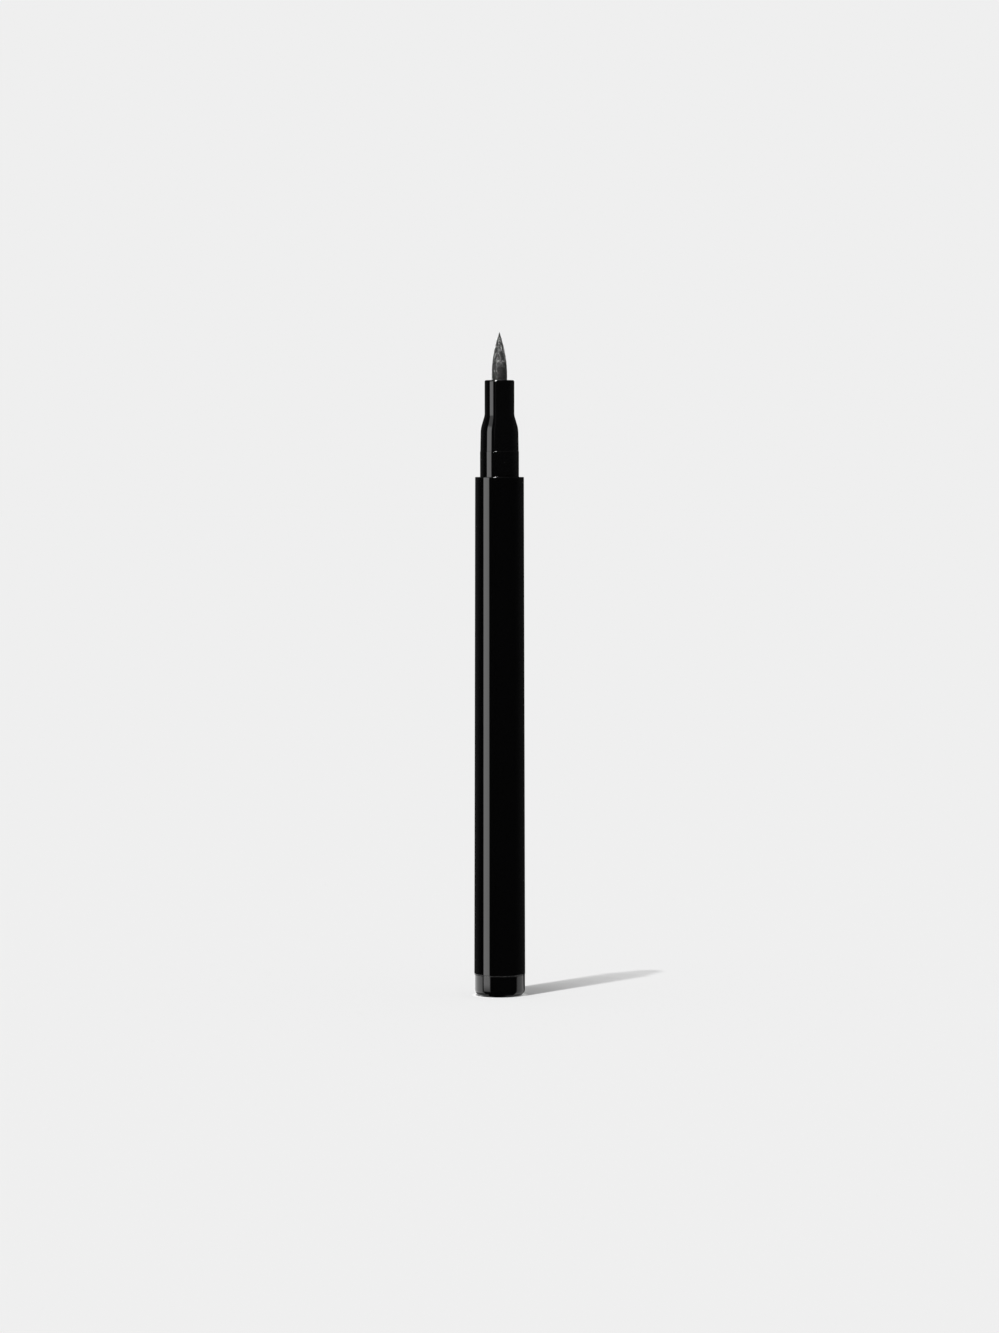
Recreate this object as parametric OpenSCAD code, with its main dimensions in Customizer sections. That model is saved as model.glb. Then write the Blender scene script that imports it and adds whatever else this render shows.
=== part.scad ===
// Liquid eyeliner pen, uncapped and standing on its tail plug, tip up.
// The pen loads from the tail: the front section, the fin collector, the ink tank
// and the tail plug follow each other up the barrel bore and clamp one another.
// Origin at the centre of the foot, +Z up along the pen's axis, millimetres.

/* [Barrel] */
// Length of the barrel tube
barrel_len = 97.5; // [85:0.5:120]
// Wall of the barrel at the mouth
barrel_mouth_wall = 0.92; // [0.7:0.01:1.3]
// Growth of the barrel's outer radius from the mouth to the tail
barrel_taper = 0.23; // [0:0.01:0.6]
// Radial gap between the seat and the bore at the mouth
barrel_mouth_gap = 0.05; // [0.03:0.01:0.15]
// Width of the inner shoulder, where the bore widens for the tank and the plug
barrel_shoulder_w = 0.25; // [0.15:0.01:0.4]
// Length of the narrower bore at the mouth
mouth_bore_len = 14; // [8:0.5:20]
// Rounding of the two outer rims
barrel_edge_r = 0.15; // [0.05:0.01:0.3]
// Lead-in chamfer of both bores
barrel_lead_in = 0.1; // [0.05:0.01:0.2]

/* [Tail plug] */
// Height of the head that shows below the barrel
plug_head_h = 4.2; // [3:0.1:8]
// How far the head's side stands in from the barrel's
plug_step = 0.05; // [0:0.01:0.2]
// Rounding between the head's side and the foot
plug_foot_r = 1.15; // [0.6:0.05:2]
// Rounding at the head's upper rim
plug_rim_r = 0.1; // [0.05:0.01:0.3]
// Thickness of the plug under its hollow
plug_floor = 1.8; // [1:0.1:2.5]
// Length of the spigot inside the barrel
plug_spigot_len = 6; // [3:0.5:10]
// Wall of the spigot
plug_wall = 1; // [0.6:0.05:1.5]
// Lead-in chamfer at the top of the spigot
plug_lead_in = 0.3; // [0.1:0.05:0.5]
// Number of crush ribs that grip the barrel bore
plug_ribs = 8; // [4:1:12]
// Diameter of a half-round crush rib
plug_rib_d = 0.6; // [0.5:0.05:1]
// Height of a crush rib above the spigot
plug_rib_h = 0.15; // [0.05:0.01:0.2]
// Diameter of the moulding gate's well under the foot
gate_well_d = 1.8; // [1:0.1:3]
// Depth of the gate's well
gate_well_depth = 0.25; // [0.2:0.05:0.6]
// Diameter of the trimmed gate stub in the well
gate_stub_d = 0.7; // [0.4:0.05:0.9]
// Height of the trimmed gate stub
gate_stub_h = 0.12; // [0.04:0.01:0.18]

/* [Ink tank] */
// Wall of the tank
tank_wall = 0.65; // [0.4:0.05:0.9]
// Thickness of the floor at its middle
tank_floor = 0.8; // [0.5:0.05:1.5]
// Depth of the dish that brings the mixing ball back to the middle
dish_depth = 0.6; // [0.3:0.05:1.2]
// Chamfer under the floor
tank_chamfer = 0.3; // [0.1:0.05:0.5]

/* [Mixing ball] */
// Diameter of the steel ball that stirs the ink
ball_d = 4; // [3:0.1:5]
// Room left between the ball and the dish it lies on
ball_room = 0.05; // [0.03:0.01:0.2]
// Room left between the ball and the feed rod when it has risen
ball_top_room = 0.3; // [0.1:0.05:1]

/* [Tank stopper] */
// Height of the flange on the tank's rim
stopper_flange_h = 1; // [0.6:0.1:2]
// Depth of the stopper inside the tank
stopper_depth = 4.5; // [3:0.1:7]
// Chamfer at the lower end of the stopper
stopper_chamfer = 0.3; // [0.1:0.05:0.5]
// Depth of the ink slit beside the stopper's bore
stopper_slit_depth = 0.5; // [0.3:0.05:0.8]
// Thickness of the sealing ring's cord
seal_cord_d = 0.9; // [0.7:0.05:1.2]

/* [Front section] */
// Diameter of the seat that a cap slides over
seat_d = 7.6; // [7:0.05:9]
// Length of the seat above the barrel's mouth
seat_len = 5; // [3:0.1:8]
// Height of the relief groove under the seat, inside the barrel's mouth
relief_h = 0.6; // [0.4:0.05:1]
// Depth of the relief groove, in from the seat
relief_depth = 0.2; // [0.1:0.01:0.3]
// Height of the witness step at the top of the seat, in from the seat
witness_step = 0.05; // [0.02:0.01:0.1]
// Further loss of radius from the witness step to the top of the waist
waist_taper = 0.06; // [0:0.01:0.15]
// Length of the waist
waist_len = 3.5; // [2:0.1:6]
// Length of the flare between the waist and the neck
flare_len = 3.9; // [3:0.1:6]
// Rounding where the waist turns into the flare, less where the flare is too short for it
flare_shoulder_r = 6.2; // [3:0.1:8]
// Rounding where the flare turns into the neck, less where the flare is too short for it
flare_throat_r = 2.4; // [1:0.1:4]
// Wall of the neck round the nib holder
neck_wall = 0.76; // [0.5:0.01:0.9]
// Length of the neck
neck_len = 6.5; // [4:0.1:10]
// Rounding at the rim of the neck
neck_rim_r = 0.22; // [0.1:0.01:0.3]
// Chamfer at the mouth of the nib's hole
neck_mouth_chamfer = 0.1; // [0.05:0.01:0.2]
// Depth of the lip that closes round the nib
neck_lip_h = 2; // [1:0.1:3]
// Wall of the section's skirt
skirt_wall = 0.65; // [0.5:0.05:0.9]
// Height of the flange that stops at the barrel's shoulder
flange_h = 1.8; // [1:0.1:3]

/* [Collector] */
// Thickness of a fin
fin_t = 0.35; // [0.2:0.05:0.5]
// Distance from fin to fin
fin_pitch = 0.8; // [0.7:0.05:1.5]
// Height of the plain disc at each end
end_disc_h = 1.2; // [0.6:0.1:2]
// Wall of the core tube that carries the fins
core_wall = 0.6; // [0.4:0.05:1]
// Width of the air slot through the fins
air_slot_w = 0.9; // [0.5:0.05:1.4]
// Width of the slit that leads ink from the tank to the fins
ink_slit_w = 0.25; // [0.15:0.05:0.5]
// Width of the vent notch in the upper end disc
vent_notch_w = 0.8; // [0.4:0.05:1.2]
// Depth of the vent notches in the upper end disc and the holder's flange
vent_notch_depth = 0.5; // [0.3:0.05:0.8]

/* [Ink feed] */
// Diameter of the fibre rod that carries the ink
feed_d = 1.6; // [1.4:0.05:1.9]
// Length of the rod inside the nib
feed_in_nib = 3; // [2:0.1:4]
// Length of the rod that hangs below its sleeve
feed_below_sleeve = 0.8; // [0.4:0.1:2]
// Chamfer at both ends of the rod
feed_chamfer = 0.3; // [0.1:0.05:0.5]
// Wall of the sleeve round the rod
sleeve_wall = 0.3; // [0.2:0.05:0.4]
// Length of the sleeve that hangs below the stopper
sleeve_below_stopper = 1; // [0.5:0.1:3]
// Length of the sleeve inside the collector
sleeve_in_collector = 3; // [1.5:0.1:5]

/* [Nib holder] */
// Wall of the holder
holder_wall = 0.6; // [0.45:0.05:0.7]
// Height of the holder's foot flange
holder_flange_h = 1.2; // [0.8:0.1:2]
// Thickness of the ledge that the nib rests on
holder_ledge_h = 1.3; // [0.8:0.1:2]
// Number of air grooves down the holder
holder_grooves = 4; // [2:1:6]
// Width of an air groove
holder_groove_w = 0.7; // [0.4:0.05:1]
// Depth of an air groove
holder_groove_depth = 0.25; // [0.1:0.05:0.35]
// Height of the vents through the holder's upper end
holder_vent_h = 0.4; // [0.2:0.05:1]
// Room between the holder's flange and the top of the wide bore
holder_head_room = 1; // [0.5:0.1:2]

/* [Nib] */
// Diameter of the felt nib
nib_d = 3; // [2.8:0.05:3.1]
// Length of the nib above the neck
nib_reach = 9.6; // [6:0.1:12]
// Straight length above the neck before the nib starts to taper
nib_straight = 1; // [0.5:0.1:2]
// Chamfer at the nib's lower end
nib_chamfer = 0.2; // [0.1:0.05:0.4]

/* [Fits] */
// Radial gap between pieces that are pressed together
press_gap = 0.02; // [0.01:0.01:0.03]
// Radial gap between the tank and the barrel bore
tank_gap = 0.1; // [0.05:0.01:0.15]
// Radial gap between the nib and the lip of the neck
lip_gap = 0.1; // [0.05:0.01:0.15]
// How far every cut runs past the face it opens
overrun = 1; // [0.5:0.5:2]

/* [Hidden] */

// Circles of the turned pieces and steps in a quarter of a rounding
round_fn = 96;
arc_steps = 6;
// Steps along the nib's point and the power of its taper
point_steps = 16;
point_power = 1.2;
// Most of the flare that its two roundings may fill
flare_most_share = 0.98;

// Radii
seat_r = seat_d / 2;
mouth_bore_r = seat_r + barrel_mouth_gap;
mouth_r = mouth_bore_r + barrel_mouth_wall;
tail_r = mouth_r + barrel_taper;
bore_r = mouth_bore_r + barrel_shoulder_w;
pressed_in_bore_r = bore_r - press_gap;
plug_head_r = tail_r - plug_step;
spigot_r = pressed_in_bore_r - plug_rib_h;
tank_r = bore_r - tank_gap;
tank_bore_r = tank_r - tank_wall;
stopper_r = tank_bore_r - press_gap;
seal_ring_r = stopper_r - seal_cord_d / 2;
skirt_r = mouth_bore_r - press_gap;
skirt_bore_r = seat_r - skirt_wall;
waist_r = seat_r - witness_step;
waist_top_r = waist_r - waist_taper;
nib_r = nib_d / 2;
lip_bore_r = nib_r + lip_gap;
nib_seat_r = nib_r + press_gap;
holder_r = nib_seat_r + holder_wall;
neck_bore_r = holder_r + press_gap;
neck_r = neck_bore_r + neck_wall;
disc_r = skirt_bore_r - press_gap;
feed_r = feed_d / 2;
feed_bore_r = feed_r + press_gap;
sleeve_r = feed_bore_r + sleeve_wall;
sleeve_seat_r = sleeve_r + press_gap;
core_r = sleeve_seat_r + core_wall;
ball_r = ball_d / 2;

// Heights, from the foot to the tip
seam_z = plug_head_h;
mouth_z = seam_z + barrel_len;
step_z = mouth_z + seat_len;
flare_z = step_z + waist_len;
neck_z = flare_z + flare_len;
rim_z = neck_z + neck_len;
tip_z = rim_z + nib_reach;
lip_z = rim_z - neck_lip_h;

// Heights of the pieces stacked in the barrel, from the barrel's shoulder down
shoulder_z = mouth_z - mouth_bore_len;
flange_z = shoulder_z - flange_h;
tank_top_z = flange_z - stopper_flange_h;
stopper_z = tank_top_z - stopper_depth;
seal_z = tank_top_z - stopper_depth / 2;
spigot_top_z = seam_z + plug_spigot_len;
tank_floor_z = spigot_top_z + tank_floor;

// Heights of the pieces stacked in the front section
holder_z = flare_z - holder_head_room - holder_flange_h;
ledge_z = holder_z + holder_flange_h + holder_ledge_h;
feed_top_z = ledge_z + feed_in_nib;
sleeve_z = stopper_z - sleeve_below_stopper;
sleeve_top_z = flange_z + sleeve_in_collector;
feed_z = sleeve_z - feed_below_sleeve;

// The mixing ball rests on the dish, and rises to just below the feed rod
dish_slope = atan(dish_depth / tank_bore_r);
ball_rest_z = tank_floor_z + ball_r / cos(dish_slope) + ball_room;
ball_travel = feed_z - ball_top_room - ball_r - ball_rest_z;

// The flare is two roundings with a straight side between them, so its turn follows
// from the sum of their radii, the radius it loses and its length
flare_drop = waist_top_r - neck_r;
flare_radii = flare_shoulder_r + flare_throat_r;
flare_radii_most = (pow(flare_len, 2) + pow(flare_drop, 2)) / (2 * flare_drop);
flare_fit_share = min(1, flare_most_share * flare_radii_most / flare_radii);
flare_sum_r = flare_radii * flare_fit_share;
flare_turn = atan2(flare_len, flare_sum_r - flare_drop)
    - acos(flare_sum_r / norm([flare_len, flare_sum_r - flare_drop]));

// Fins fill the collector between its end discs
collector_len = holder_z - flange_z;
fin_room = collector_len - 2 * end_disc_h;
fin_count = floor(fin_room / fin_pitch) - 1;
fin_step = fin_room / (fin_count + 1);

echo(total_length = tip_z, ball_rest_z = ball_rest_z, ball_travel = ball_travel, fins = fin_count);

// Points of an arc about [x, z], from angle a to angle b
function arc(x, z, r, a, b) =
    [for (i = [0:arc_steps]) let (t = a + (b - a) * i / arc_steps) [x + r * cos(t), z + r * sin(t)]];

// A turned piece from half its outline, as [radius, height] points
module turned(outline) rotate_extrude($fn = round_fn) polygon(outline);

// Slightly tapered outer tube with a shoulder near the mouth
module barrel() {
    e = barrel_edge_r;
    c = barrel_lead_in;
    color([0.02, 0.02, 0.02]) turned(concat(
        arc(tail_r - e, seam_z + e, e, -90, 0),
        arc(mouth_r - e, mouth_z - e, e, 0, 90),
        [
            [mouth_bore_r + c, mouth_z], [mouth_bore_r, mouth_z - c],
            [mouth_bore_r, shoulder_z], [bore_r, shoulder_z],
            [bore_r, seam_z + c], [bore_r + c, seam_z]
        ]
    ));
}

// Plug with a rounded foot, a gate well under it and a hollow, ribbed spigot
module tail_plug() {
    head_outline = concat(
        [
            [0, gate_well_depth - gate_stub_h], [gate_stub_d / 2, gate_well_depth - gate_stub_h],
            [gate_stub_d / 2, gate_well_depth], [gate_well_d / 2, gate_well_depth], [gate_well_d / 2, 0]
        ],
        arc(plug_head_r - plug_foot_r, plug_foot_r, plug_foot_r, -90, 0),
        arc(plug_head_r - plug_rim_r, seam_z - plug_rim_r, plug_rim_r, 0, 90)
    );
    spigot_outline = [
        [spigot_r, seam_z], [spigot_r, spigot_top_z - plug_lead_in],
        [spigot_r - plug_lead_in, spigot_top_z], [spigot_r - plug_wall, spigot_top_z],
        [spigot_r - plug_wall, plug_floor], [0, plug_floor]
    ];
    color([0.05, 0.05, 0.055]) {
        turned(concat(head_outline, spigot_outline));
        for (i = [0:plug_ribs - 1]) rotate(360 * i / plug_ribs) plug_rib();
    }
}

// One crush rib, from inside the head to short of the spigot's chamfer
module plug_rib() {
    rib_z = seam_z - plug_rim_r;
    translate([pressed_in_bore_r - plug_rib_d / 2, 0, rib_z])
        cylinder(d = plug_rib_d, h = spigot_top_z - 2 * plug_lead_in - rib_z, $fn = round_fn / 2);
}

// Inner tank with a dished floor
module ink_tank() {
    color([0.86, 0.87, 0.88]) turned([
        [0, spigot_top_z], [tank_r - tank_chamfer, spigot_top_z], [tank_r, spigot_top_z + tank_chamfer],
        [tank_r, tank_top_z], [tank_bore_r, tank_top_z],
        [tank_bore_r, tank_floor_z + dish_depth], [0, tank_floor_z]
    ]);
}

// Loose steel ball that stirs the ink when the pen is shaken
module mixing_ball() {
    color([0.75, 0.76, 0.78]) translate([0, 0, ball_rest_z]) sphere(r = ball_r, $fn = round_fn);
}

// Stopper in the tank's mouth, grooved for the sealing ring and slit for the ink
module tank_stopper() {
    groove_r = seal_ring_r - seal_cord_d / 2 - press_gap;
    groove_h = seal_cord_d + 2 * press_gap;
    color([0.9, 0.9, 0.88]) difference() {
        turned([
            [sleeve_seat_r, stopper_z], [stopper_r - stopper_chamfer, stopper_z],
            [stopper_r, stopper_z + stopper_chamfer], [stopper_r, seal_z - groove_h / 2],
            [groove_r, seal_z - groove_h / 2], [groove_r, seal_z + groove_h / 2],
            [stopper_r, seal_z + groove_h / 2], [stopper_r, tank_top_z], [tank_r, tank_top_z],
            [tank_r, flange_z], [sleeve_seat_r, flange_z]
        ]);
        ink_slit(stopper_z - overrun, flange_z + overrun, sleeve_seat_r + stopper_slit_depth);
    }
}

// Cut for the ink slit, from the axis out to a radius, between two heights
module ink_slit(low_z, high_z, radius) {
    translate([-radius, -ink_slit_w / 2, low_z]) cube([radius, ink_slit_w, high_z - low_z]);
}

// Rubber ring that seals the stopper in the tank
module tank_seal_ring() {
    color([0.08, 0.08, 0.08]) rotate_extrude($fn = round_fn)
        translate([seal_ring_r, seal_z]) circle(d = seal_cord_d, $fn = round_fn / 2);
}

// Stepped nose of the pen, held by a flange under the barrel's shoulder
module front_section() {
    shoulder_r = flare_shoulder_r * flare_fit_share;
    throat_r = flare_throat_r * flare_fit_share;
    color([0.03, 0.03, 0.03]) turned(concat(
        [
            [skirt_bore_r, flange_z], [pressed_in_bore_r, flange_z], [pressed_in_bore_r, shoulder_z],
            [skirt_r, shoulder_z], [skirt_r, mouth_z - relief_h],
            [seat_r - relief_depth, mouth_z - relief_h], [seat_r - relief_depth, mouth_z],
            [seat_r, mouth_z], [seat_r, step_z], [waist_r, step_z]
        ],
        arc(waist_top_r - shoulder_r, flare_z, shoulder_r, 0, flare_turn),
        arc(neck_r + throat_r, neck_z, throat_r, 180 + flare_turn, 180),
        arc(neck_r - neck_rim_r, rim_z - neck_rim_r, neck_rim_r, 0, 90),
        [
            [lip_bore_r + neck_mouth_chamfer, rim_z], [lip_bore_r, rim_z - neck_mouth_chamfer],
            [lip_bore_r, lip_z], [neck_bore_r, lip_z],
            [neck_bore_r, flare_z + skirt_bore_r - neck_bore_r], [skirt_bore_r, flare_z]
        ]
    ));
}

// Comb of fins that takes up and gives back ink as the pen warms and cools
module ink_collector() {
    cut_r = disc_r + overrun;
    color([0.88, 0.88, 0.86]) difference() {
        union() {
            translate([0, 0, flange_z]) cylinder(r = core_r, h = collector_len, $fn = round_fn);
            for (z = [flange_z, holder_z - end_disc_h])
                translate([0, 0, z]) cylinder(r = disc_r, h = end_disc_h, $fn = round_fn);
            for (i = [1:fin_count])
                translate([0, 0, flange_z + end_disc_h + i * fin_step - fin_t / 2])
                    cylinder(r = disc_r, h = fin_t, $fn = round_fn);
        }
        // Core bore, wider where it takes the sleeve
        translate([0, 0, flange_z - overrun])
            cylinder(r = feed_bore_r, h = collector_len + 2 * overrun, $fn = round_fn);
        translate([0, 0, flange_z - overrun])
            cylinder(r = sleeve_seat_r, h = sleeve_in_collector + overrun, $fn = round_fn);
        // Air slot through the fins on one side, ink slit into the core on the other
        translate([core_r, -air_slot_w / 2, flange_z + end_disc_h])
            cube([cut_r - core_r, air_slot_w, fin_room]);
        ink_slit(flange_z + end_disc_h, holder_z - end_disc_h, cut_r);
        ink_slit(flange_z - overrun, flange_z + end_disc_h + overrun, sleeve_seat_r + stopper_slit_depth);
        // Vent notch at the rim of the upper end disc
        translate([disc_r - vent_notch_depth, -vent_notch_w / 2, holder_z - end_disc_h - overrun])
            cube([cut_r, vent_notch_w, end_disc_h + 2 * overrun]);
    }
}

// Fibre rod from the tank to the nib
module feed_rod() {
    c = feed_chamfer;
    color([0.3, 0.3, 0.32]) turned([
        [0, feed_z], [feed_r - c, feed_z], [feed_r, feed_z + c],
        [feed_r, feed_top_z - c], [feed_r - c, feed_top_z], [0, feed_top_z]
    ]);
}

// Thin sleeve that guides the rod through the stopper and into the collector
module feed_sleeve() {
    color([0.8, 0.82, 0.84]) turned([
        [feed_bore_r, sleeve_z], [sleeve_r, sleeve_z], [sleeve_r, sleeve_top_z], [feed_bore_r, sleeve_top_z]
    ]);
}

// Holder that grips the nib in the neck and lets air pass down its grooves
module nib_holder() {
    ring_z = holder_z + holder_flange_h;
    color([0.9, 0.9, 0.9]) difference() {
        turned([
            [feed_bore_r, holder_z], [disc_r, holder_z], [disc_r, ring_z], [holder_r, ring_z],
            [holder_r, lip_z], [nib_seat_r, lip_z], [nib_seat_r, ledge_z], [feed_bore_r, ledge_z]
        ]);
        for (i = [0:holder_grooves - 1]) rotate(360 * i / holder_grooves) {
            translate([holder_r - holder_groove_depth, -holder_groove_w / 2, ring_z])
                cube([disc_r, holder_groove_w, lip_z - ring_z + overrun]);
            translate([0, -holder_groove_w / 2, lip_z - holder_vent_h])
                cube([disc_r, holder_groove_w, holder_vent_h + overrun]);
            translate([disc_r - vent_notch_depth, -holder_groove_w / 2, holder_z - overrun])
                cube([disc_r, holder_groove_w, holder_flange_h + 2 * overrun]);
        }
    }
}

// Felt nib: a straight shank with a socket for the rod, and a point drawn out by a power curve
module nib() {
    point_len = nib_reach - nib_straight;
    color([0.12, 0.12, 0.12]) turned(concat(
        [
            [0, feed_top_z], [feed_bore_r, feed_top_z], [feed_bore_r, ledge_z],
            [nib_r - nib_chamfer, ledge_z], [nib_r, ledge_z + nib_chamfer]
        ],
        [for (i = [0:point_steps])
            let (t = i / point_steps)
            [nib_r * pow(1 - t * t, point_power), rim_z + nib_straight + point_len * t]]
    ));
}

barrel();
tail_plug();
ink_tank();
mixing_ball();
tank_stopper();
tank_seal_ring();
front_section();
ink_collector();
feed_rod();
feed_sleeve();
nib_holder();
nib();
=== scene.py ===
import math

import bpy
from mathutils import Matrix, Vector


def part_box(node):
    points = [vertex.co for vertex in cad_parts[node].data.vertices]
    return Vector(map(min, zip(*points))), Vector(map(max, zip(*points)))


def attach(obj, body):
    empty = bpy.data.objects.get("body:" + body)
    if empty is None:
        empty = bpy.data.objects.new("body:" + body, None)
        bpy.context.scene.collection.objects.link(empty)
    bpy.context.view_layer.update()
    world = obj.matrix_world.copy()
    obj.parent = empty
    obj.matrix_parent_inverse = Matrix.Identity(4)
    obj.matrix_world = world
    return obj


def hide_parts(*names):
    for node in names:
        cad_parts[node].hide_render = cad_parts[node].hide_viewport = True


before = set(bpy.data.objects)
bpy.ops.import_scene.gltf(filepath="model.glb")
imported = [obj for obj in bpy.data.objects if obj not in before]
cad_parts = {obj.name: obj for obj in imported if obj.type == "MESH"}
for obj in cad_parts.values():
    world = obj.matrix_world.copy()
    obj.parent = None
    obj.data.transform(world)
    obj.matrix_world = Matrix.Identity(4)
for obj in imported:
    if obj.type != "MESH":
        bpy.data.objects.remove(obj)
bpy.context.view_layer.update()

# Barrel
# A tube injection-moulded in black plastic against a polished mould, a little thicker at the
# tail than at the mouth. Everything else is loaded into it from the tail end.
MM = 0.001
barrel_low, barrel_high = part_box("barrel")
tail_r = barrel_high.x
tail_z = barrel_low.z
mouth_z = barrel_high.z
mouth_r = 4.77 * MM
mouth_bore_r = 3.85 * MM
mouth_bore_len = 14 * MM
bore_r = 4.1 * MM
rim_round = 0.15 * MM
tail_round = 0.05 * MM
bore_chamfer = 0.1 * MM
sides_around = 256
sharp_edge = math.radians(35)
on_axis = 1e-9
barrel_black = (0.0013, 0.0013, 0.0014)
barrel_rims = [tail_z, mouth_z]
wear_and_highlight_reach = 0.2 * MM


def arc(centre_r, centre_z, radius, start, end, steps=8):
    """Points of an arc in the outline of a turned piece, from one angle in degrees to another."""
    angles = [math.radians(start + (end - start) * i / steps) for i in range(steps + 1)]
    return [(centre_r + radius * math.cos(a), centre_z + radius * math.sin(a)) for a in angles]


def stretch(start, end, rings, edge=0.04 * MM):
    """Points inside a straight stretch of an outline, with one near each end to hold the edge."""
    length = math.dist(start, end)
    shares = [edge / length] + [i / rings for i in range(1, rings)] + [1 - edge / length]
    return [tuple(a + (b - a) * s for a, b in zip(start, end)) for s in shares]


def turn(name, outline, around=sides_around):
    """A mesh turned about the pen's axis from a closed outline of (radius, height) points."""
    points = []
    rows = []
    for radius, height in outline:
        if radius < on_axis:
            rows.append([len(points)] * around)
            points.append((0, 0, height))
            continue
        rows.append(list(range(len(points), len(points) + around)))
        for i in range(around):
            angle = 2 * math.pi * i / around
            points.append((radius * math.cos(angle), radius * math.sin(angle), height))
    faces = []
    for low, high in zip(rows, rows[1:] + rows[:1]):
        for i in range(around):
            j = (i + 1) % around
            corners = list(dict.fromkeys([low[i], low[j], high[j], high[i]]))
            if len(corners) > 2:
                faces.append(corners)
    mesh = bpy.data.meshes.new(name)
    mesh.from_pydata(points, [], faces)
    mesh.shade_smooth()
    mesh.set_sharp_from_angle(angle=sharp_edge)
    piece = bpy.data.objects.new(name, mesh)
    bpy.context.scene.collection.objects.link(piece)
    return piece


class Field:
    """One output in a node tree. Arithmetic on it adds Math nodes, and node() adds any other."""

    def __init__(self, socket):
        self.socket = socket

    def node(self, kind, settings=None, inputs=None, output=0):
        tree = self.socket.id_data
        made = tree.nodes.new(kind)
        for name, value in (settings or {}).items():
            if name == "stops":
                ramp = made.color_ramp.elements
                for _ in range(len(value) - len(ramp)):
                    ramp.new(1.0)
                for stop, (position, grey) in zip(ramp, value):
                    stop.position = position
                    stop.color = (grey, grey, grey, 1)
            else:
                setattr(made, name, value)
        for key, value in (inputs or {}).items():
            for one in value if isinstance(value, list) else [value]:
                if isinstance(one, Field):
                    tree.links.new(one.socket, made.inputs[key])
                else:
                    made.inputs[key].default_value = one
        return Field(made.outputs[output]) if made.outputs else None

    def math(self, operation, other=0.0, reflected=False):
        first, second = (other, self) if reflected else (self, other)
        return self.node("ShaderNodeMath", {"operation": operation}, {0: first, 1: second})

    def clamped(self):
        return self.node("ShaderNodeClamp", None, {"Value": self})

    def near(self, centre, reach, peak=1):
        """1 at a value, falling to 0 on both sides of it. A higher peak is cut off at 1."""
        return (peak - (self - centre).math("ABSOLUTE") / reach).clamped()

    def part(self, axis):
        """One coordinate of a vector: 0, 1 or 2 for x, y or z."""
        return self.node("ShaderNodeSeparateXYZ", None, {0: self}, axis)

    def vector(self, operation, other=(0, 0, 0)):
        return self.node("ShaderNodeVectorMath", {"operation": operation}, {0: self, 1: other})

    def scaled(self, factor):
        return self.node("ShaderNodeVectorMath", {"operation": "SCALE"}, {0: self, "Scale": factor})

    def length(self):
        return self.node("ShaderNodeVectorMath", {"operation": "LENGTH"}, {0: self}, "Value")

    def __add__(self, other):
        return self.math("ADD", other)

    __radd__ = __add__

    def __sub__(self, other):
        return self.math("SUBTRACT", other)

    def __rsub__(self, other):
        return self.math("SUBTRACT", other, True)

    def __mul__(self, other):
        return self.math("MULTIPLY", other)

    __rmul__ = __mul__

    def __truediv__(self, other):
        return self.math("DIVIDE", other)

    def __rtruediv__(self, other):
        return self.math("DIVIDE", other, True)


def new_material(name):
    """An empty material, and the Object coordinates that its pattern starts from."""
    material = bpy.data.materials.new(name)
    material.use_nodes = True
    material.node_tree.nodes.clear()
    coordinates = material.node_tree.nodes.new("ShaderNodeTexCoord")
    return material, Field(coordinates.outputs["Object"])


def grain(place, size, detail=2.0, stretched=(1, 1, 1), output=0):
    """Noise whose blotches are about one size across, in metres, drawn out along the axes."""
    sized = place.vector("MULTIPLY", tuple(1 / (size * s) for s in stretched))
    noise = {"Vector": sized, "Scale": 1.0, "Detail": detail}
    return sized.node("ShaderNodeTexNoise", None, noise, output)


def tint(amount, low, high):
    """A colour between two, by an amount from 0 to 1. The first may be a tint itself."""
    sockets = {0: amount.clamped(), 6: low if isinstance(low, Field) else (*low, 1), 7: (*high, 1)}
    return amount.node("ShaderNodeMix", {"data_type": "RGBA"}, sockets, 2)


def finish_material(place, colour, roughness, relief, others=None):
    """Ends a material in one shader. Its relief is a height, a strength and a depth in metres."""
    height, strength, depth = relief
    bumps = {"Height": height, "Strength": strength, "Distance": depth}
    bump = place.node("ShaderNodeBump", None, bumps)
    sockets = {"Base Color": colour, "Roughness": roughness, "Normal": bump, **(others or {})}
    surface = place.node("ShaderNodeBsdfPrincipled", None, sockets)
    place.node("ShaderNodeOutputMaterial", None, {"Surface": surface})


def gloss_black(name, black, haze, wear_and_highlight_grey, wear_and_highlight_heights):
    """Polished black plastic: mould ripple, hairlines along the pen, haze, and grey speckled bands
    at given rims, worn on most and a painted highlight at the plug's seam.
    """
    material, place = new_material(name)
    ripple = grain(place, 2.2 * MM, 1.0, (1, 1, 3))
    pores = grain(place, 0.12 * MM, 3.0)
    blotches = grain(place, 7 * MM, 4.0, (1, 1, 2))
    lines = grain(place, 0.16 * MM, 2.0, (1, 1, 60))
    hairlines = ((lines - 0.66) * 9).clamped()
    breaks = ((grain(place, 5 * MM, 1.0, (0.4, 0.4, 1)) - 0.5) * 8).clamped()
    scratches = hairlines * breaks
    rubbed_and_highlight_bands = sum(place.part(2).near(height, wear_and_highlight_reach) for height in wear_and_highlight_heights)
    # Grey speckled bands at the given heights: worn rims on the barrel and front section, a painted
    # highlight along the plug's seam.
    wear_and_highlight = (rubbed_and_highlight_bands * (pores - 0.4) * 2).clamped()
    roughness = haze + blotches * haze * 0.5 + scratches * 0.12 + wear_and_highlight * 0.08
    colour = tint(wear_and_highlight, tint(blotches, black, [c * 1.5 for c in black]), (wear_and_highlight_grey,) * 3)
    relief = (ripple * 0.9 + pores * 0.05 - scratches * 0.08, 1.0, 1.2e-6)
    finish_material(place, colour, roughness, relief, {"IOR": 1.5})
    return material


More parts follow.
